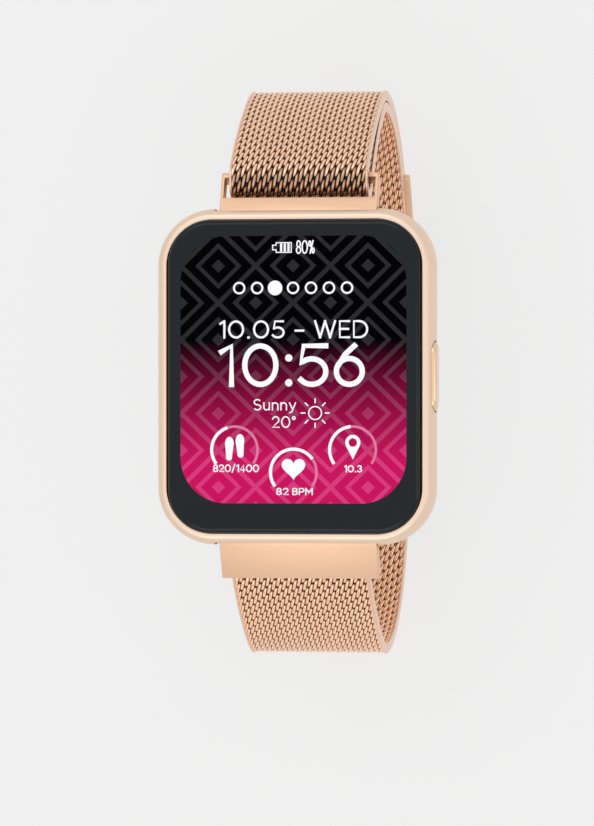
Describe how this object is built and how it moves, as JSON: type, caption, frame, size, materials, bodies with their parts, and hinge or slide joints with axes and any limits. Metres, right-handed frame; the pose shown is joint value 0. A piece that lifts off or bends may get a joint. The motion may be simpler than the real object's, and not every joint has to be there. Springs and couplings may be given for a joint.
{
  "type": "smartwatch",
  "caption": "Rectangular smartwatch with a touch display, side button and a rose gold milanese mesh strap closed in a loop by a magnetic tab.",
  "frame": {"origin": "on the surface that the back of the strap rests on, under the middle of the watch's bounding box", "axes": "+Z out of the display glass, +Y towards twelve o'clock, +X towards the side button"},
  "size_m": [0.0384, 0.0788, 0.0525],
  "materials": {
    "rose_gold_case": "fine satin, rose gold anodised",
    "rose_gold_steel": "brushed, rose gold plated",
    "rose_gold_mesh": "woven wire, rose gold plated",
    "cover_glass": "black printed cover glass over the display",
    "display": "active display panel",
    "black_plastic": "matte black",
    "adhesive": "adhesive film",
    "flex_film": "polyimide film",
    "circuit_board": "solder mask",
    "tinned_steel": "tinned",
    "battery_foil": "foil pouch cell",
    "silicone": "silicone",
    "sensor_lens": "dark tinted lens",
    "led_lens": "clear green lens",
    "gold_contact": "gold plated",
    "steel": "bright",
    "magnet": "nickel plated magnet",
    "tungsten": "sintered"
  },
  "bodies": {
    "case": {"mid_case": "rose_gold_case", "back_cover": "black_plastic", "back_seal": "silicone", "cover_glass": "cover_glass", "glass_adhesive": "adhesive", "display_panel": "display", "display_flex": "flex_film", "display_carrier": "black_plastic", "main_board": "circuit_board", "processor_shield": "tinned_steel", "radio_module": "tinned_steel", "motion_sensor": "black_plastic", "battery": "battery_foil", "sensor_board": "circuit_board", "sensor_led_1": "led_lens", "sensor_led_2": "led_lens", "photodiode": "black_plastic", "sensor_window": "sensor_lens", "charging_contact_left": "gold_contact", "charging_contact_right": "gold_contact", "motor_can": "tinned_steel", "button_seal": "silicone", "button_switch": "black_plastic", "band_lower_run": "rose_gold_mesh", "band_back_run": "rose_gold_mesh", "band_inner_run": "rose_gold_mesh", "band_outer_run": "rose_gold_mesh"},
    "button": {"side_button": "rose_gold_steel", "button_clip": "steel"},
    "vibration_weight": {"motor_weight": "tungsten"},
    "upper_link": {"upper_link": "rose_gold_steel", "upper_bar_tube": "steel", "upper_bar_spring": "steel", "band_fold": "rose_gold_mesh"},
    "lower_link": {"lower_link": "rose_gold_steel", "lower_bar_tube": "steel", "lower_bar_spring": "steel"},
    "upper_plunger_left": {"upper_plunger_left": "steel"},
    "upper_plunger_right": {"upper_plunger_right": "steel"},
    "lower_plunger_left": {"lower_plunger_left": "steel"},
    "lower_plunger_right": {"lower_plunger_right": "steel"},
    "strap_tab": {"band_free_end": "rose_gold_mesh", "tab_plate": "rose_gold_steel", "tab_magnet_1": "magnet", "tab_magnet_2": "magnet", "tab_magnet_3": "magnet", "tab_magnet_4": "magnet"}
  },
  "joints": [
    {"name": "button_press", "type": "slide", "parent": "case", "child": "button", "axis": [-1, 0, 0], "range_m": [0, 0.00025], "stiffness_N_per_m": 8000, "springref_m": -0.00005},
    {"name": "vibration_spin", "type": "hinge", "parent": "case", "child": "vibration_weight", "pos_m": [-0.01015, -0.015, 0.046], "axis": [0, 0, 1], "continuous": true},
    {"name": "upper_link_pivot", "type": "hinge", "parent": "case", "child": "upper_link", "pos_m": [-0.00015, 0.0215, 0.0469], "axis": [1, 0, 0], "range_deg": [-8, 8], "deforming": ["band_inner_run", "band_outer_run"]},
    {"name": "lower_link_pivot", "type": "hinge", "parent": "case", "child": "lower_link", "pos_m": [-0.00015, -0.0231, 0.0469], "axis": [1, 0, 0], "range_deg": [-8, 8], "deforming": ["band_lower_run"]},
    {"name": "tab_peel", "type": "hinge", "parent": "case", "child": "strap_tab", "pos_m": [-0.00015, 0.0388, 0.02695], "axis": [1, 0, 0], "range_deg": [0, 60]},
    {"name": "upper_plunger_left_press", "type": "slide", "parent": "upper_link", "child": "upper_plunger_left", "axis": [1, 0, 0], "range_m": [0, 0.001], "stiffness_N_per_m": 500, "springref_m": -0.001, "deforming": ["upper_bar_spring"]},
    {"name": "upper_plunger_right_press", "type": "slide", "parent": "upper_link", "child": "upper_plunger_right", "axis": [-1, 0, 0], "range_m": [0, 0.001], "stiffness_N_per_m": 500, "springref_m": -0.001, "deforming": ["upper_bar_spring"]},
    {"name": "lower_plunger_left_press", "type": "slide", "parent": "lower_link", "child": "lower_plunger_left", "axis": [1, 0, 0], "range_m": [0, 0.001], "stiffness_N_per_m": 500, "springref_m": -0.001, "deforming": ["lower_bar_spring"]},
    {"name": "lower_plunger_right_press", "type": "slide", "parent": "lower_link", "child": "lower_plunger_right", "axis": [-1, 0, 0], "range_m": [0, 0.001], "stiffness_N_per_m": 500, "springref_m": -0.001, "deforming": ["lower_bar_spring"]}
  ]
}
